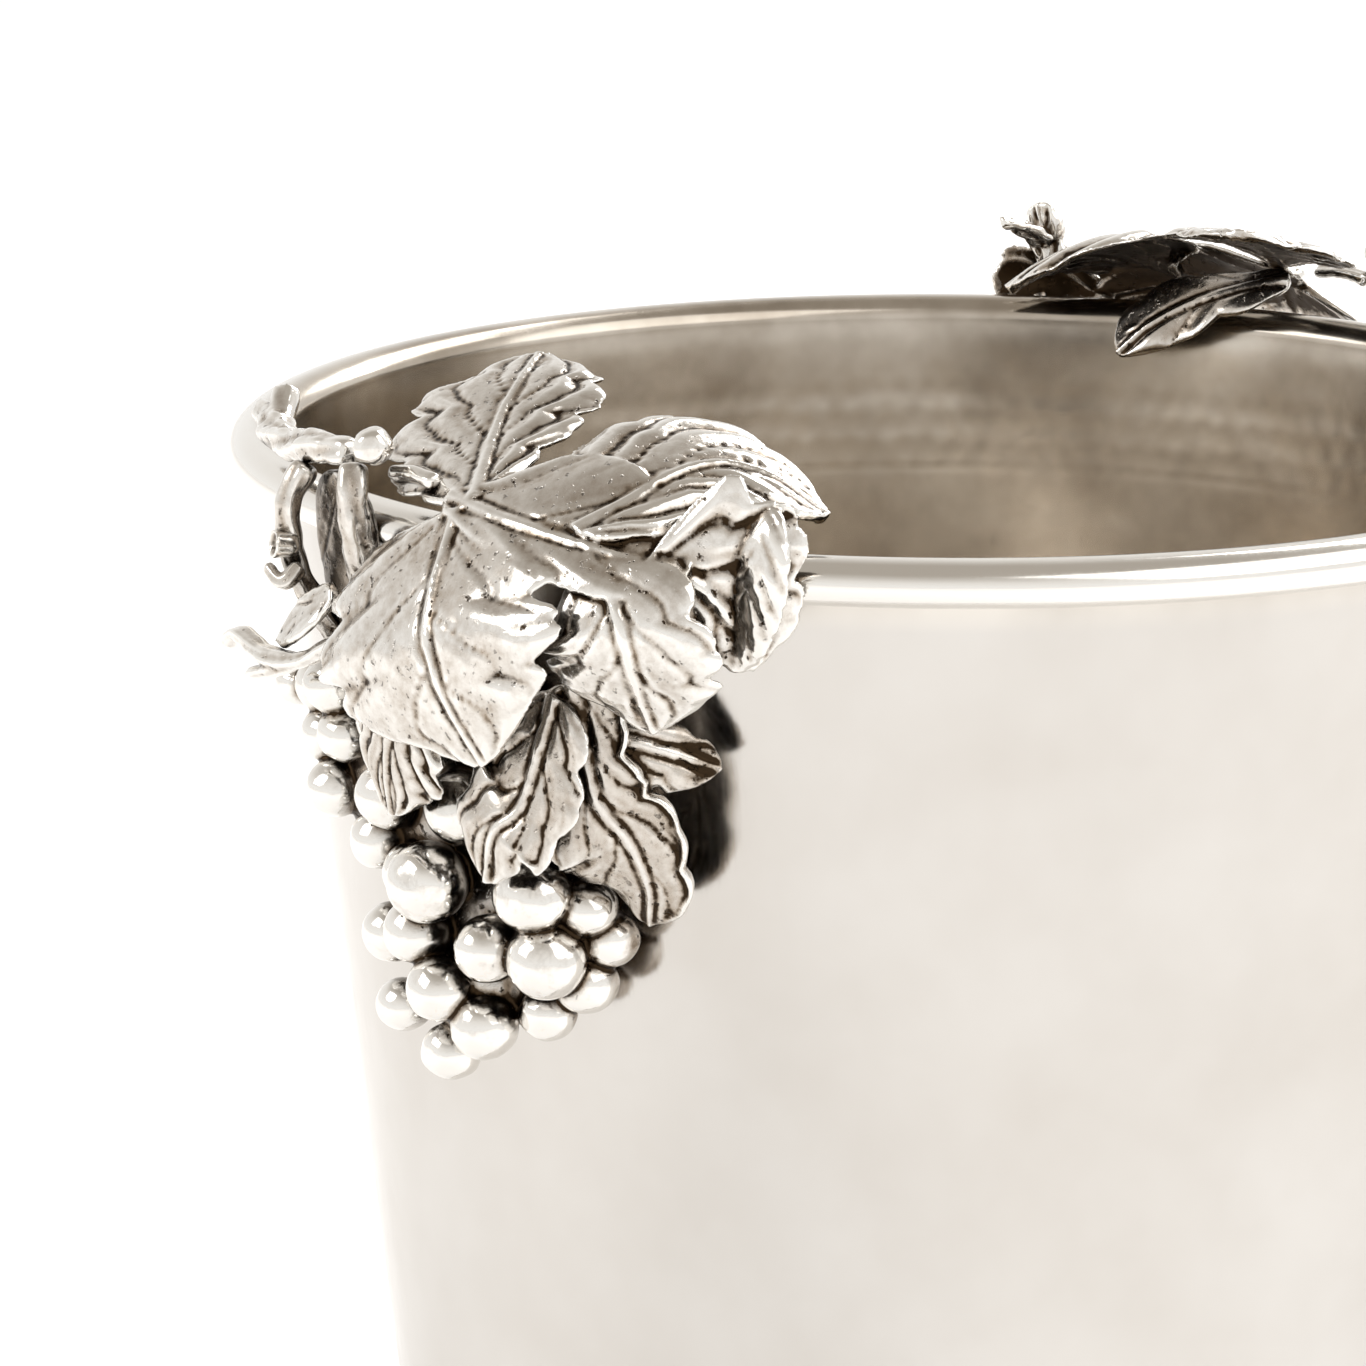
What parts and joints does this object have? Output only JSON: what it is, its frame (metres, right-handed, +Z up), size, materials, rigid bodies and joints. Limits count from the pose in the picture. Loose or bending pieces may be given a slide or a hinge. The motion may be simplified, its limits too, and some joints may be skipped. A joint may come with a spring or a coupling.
{
  "type": "champagne bucket",
  "caption": "Tapered polished metal bucket with a rolled rim and cast grapevine handles, for chilling a bottle in ice.",
  "frame": {"origin": "centre of the underside, on the plane that the foot ring stands on", "axes": "+Z up through the open mouth; the handles sit at -X and, a few degrees round from it, at +X; +Y is square to both"},
  "size_m": [0.2768, 0.2398, 0.2457],
  "materials": {
    "polished_silver": "polished silver plate, nearly a mirror, with faint vertical polishing marks",
    "satin_silver": "silver plate left satin on the underside",
    "cast_silver": "cast and buffed on the high spots, dark oxide left in the recesses",
    "oxidised_casting": "cast, mostly oxidised, buffed only along the ridges"
  },
  "bodies": {
    "root": {"bucket_wall": "polished_silver", "rim_wire": "satin_silver", "base_plate": "satin_silver", "foot_ring": "polished_silver", "left_vine_cane": "cast_silver", "left_leaf_large": "cast_silver", "left_cane_knob": "cast_silver", "left_twig_arch": "cast_silver", "left_bunch_stem": "oxidised_casting", "left_side_stem": "oxidised_casting", "left_cut_spur": "cast_silver", "left_curled_spur": "oxidised_casting", "left_tendril_long": "cast_silver", "left_tendril_flat": "cast_silver", "left_leaf_lower": "cast_silver", "left_leaf_side": "cast_silver", "left_leaf_inner": "oxidised_casting", "left_grape_bunch": "cast_silver", "right_vine_cane": "cast_silver", "right_leaf_large": "cast_silver", "right_cane_knob": "cast_silver", "right_twig_arch": "cast_silver", "right_bunch_stem": "oxidised_casting", "right_side_stem": "oxidised_casting", "right_cut_spur": "cast_silver", "right_curled_spur": "oxidised_casting", "right_tendril_long": "cast_silver", "right_tendril_flat": "cast_silver", "right_leaf_lower": "cast_silver", "right_leaf_side": "cast_silver", "right_leaf_inner": "oxidised_casting", "right_leaf_tip_upturned": "cast_silver", "right_grape_bunch": "cast_silver"}
  },
  "joints": []
}
